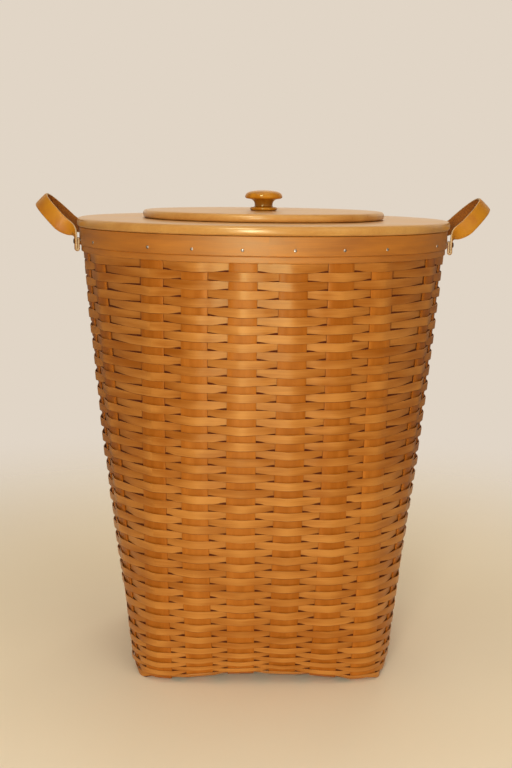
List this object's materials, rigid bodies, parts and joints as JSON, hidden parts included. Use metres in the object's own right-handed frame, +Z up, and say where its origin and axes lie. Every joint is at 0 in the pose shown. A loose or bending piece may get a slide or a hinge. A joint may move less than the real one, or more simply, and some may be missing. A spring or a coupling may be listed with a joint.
{
  "type": "laundry hamper",
  "caption": "Tall woven splint laundry hamper, square base and round rim, wooden ring lid with lift-out knobbed centre lid and leather ear handles.",
  "frame": {"origin": "middle of the footprint, on the surface that the hamper stands on", "axes": "+Z up, -Y out of the front, +X to the right as seen from the front"},
  "size_m": [0.597, 0.487, 0.6148],
  "materials": {
    "splint_wood": "satin lacquered maple splint",
    "weaver_wood": "satin lacquered maple splint",
    "band_wood": "satin lacquered bent maple",
    "lid_wood": "gloss lacquered maple",
    "plain_wood": "sanded maple",
    "knob_wood": "gloss lacquered turned maple",
    "strap_leather": "smooth mustard-tan leather, brown flesh side",
    "raw_leather": "raw cut leather",
    "tack_steel": "dull plated steel",
    "dark_screw": "blackened steel"
  },
  "bodies": {
    "basket": {"front_back_splint_1": "splint_wood", "front_back_splint_2": "splint_wood", "front_back_splint_3": "splint_wood", "front_back_splint_4": "splint_wood", "front_back_splint_5": "splint_wood", "front_back_splint_6": "splint_wood", "side_splint_1": "splint_wood", "side_splint_2": "splint_wood", "side_splint_3": "splint_wood", "side_splint_4": "splint_wood", "side_splint_5": "splint_wood", "weaver_band_1": "weaver_wood", "weaver_band_2": "weaver_wood", "weaver_band_3": "weaver_wood", "weaver_band_4": "weaver_wood", "weaver_band_5": "weaver_wood", "weaver_band_6": "weaver_wood", "weaver_band_7": "weaver_wood", "outer_rim_band": "band_wood", "inner_rim_band": "band_wood", "trim_band": "band_wood", "rim_tack_01": "tack_steel", "rim_tack_02": "tack_steel", "rim_tack_03": "tack_steel", "rim_tack_04": "tack_steel", "rim_tack_05": "tack_steel", "rim_tack_06": "tack_steel", "rim_tack_07": "tack_steel", "rim_tack_08": "tack_steel", "rim_tack_09": "tack_steel", "rim_tack_10": "tack_steel", "rim_tack_11": "tack_steel", "rim_tack_12": "tack_steel", "rim_tack_13": "tack_steel", "rim_tack_14": "tack_steel", "rim_tack_15": "tack_steel", "rim_tack_16": "tack_steel", "rim_tack_17": "tack_steel", "rim_tack_18": "tack_steel", "rim_tack_19": "tack_steel", "rim_tack_20": "tack_steel", "rim_tack_21": "tack_steel", "rim_tack_22": "tack_steel", "left_handle_front_tab": "raw_leather", "left_handle_back_tab": "raw_leather", "right_handle_front_tab": "raw_leather", "right_handle_back_tab": "raw_leather", "left_handle_front_screw": "dark_screw", "left_handle_back_screw": "dark_screw", "right_handle_front_screw": "dark_screw", "right_handle_back_screw": "dark_screw"},
    "ring_lid": {"ring_lid": "lid_wood", "ring_lid_locating_ring": "plain_wood"},
    "centre_lid": {"centre_lid": "lid_wood", "centre_lid_locating_disc": "plain_wood", "lid_knob": "knob_wood", "knob_screw": "tack_steel"},
    "left_handle": {"left_handle_strap": "strap_leather"},
    "right_handle": {"right_handle_strap": "strap_leather"}
  },
  "joints": [
    {"name": "ring_lid_lift", "type": "slide", "parent": "basket", "child": "ring_lid", "axis": [0, 0, 1], "range_m": [0, 0.3]},
    {"name": "centre_lid_lift", "type": "slide", "parent": "ring_lid", "child": "centre_lid", "axis": [0, 0, 1], "range_m": [0, 0.25]},
    {"name": "left_handle_swing", "type": "hinge", "parent": "basket", "child": "left_handle", "pos_m": [-0.24152, 0, 0.5555], "axis": [0, -1, 0], "range_deg": [-23, 45], "stiffness_Nm_per_rad": 0.2},
    {"name": "right_handle_swing", "type": "hinge", "parent": "basket", "child": "right_handle", "pos_m": [0.24152, 0, 0.5555], "axis": [0, 1, 0], "range_deg": [-23, 45], "stiffness_Nm_per_rad": 0.2}
  ]
}
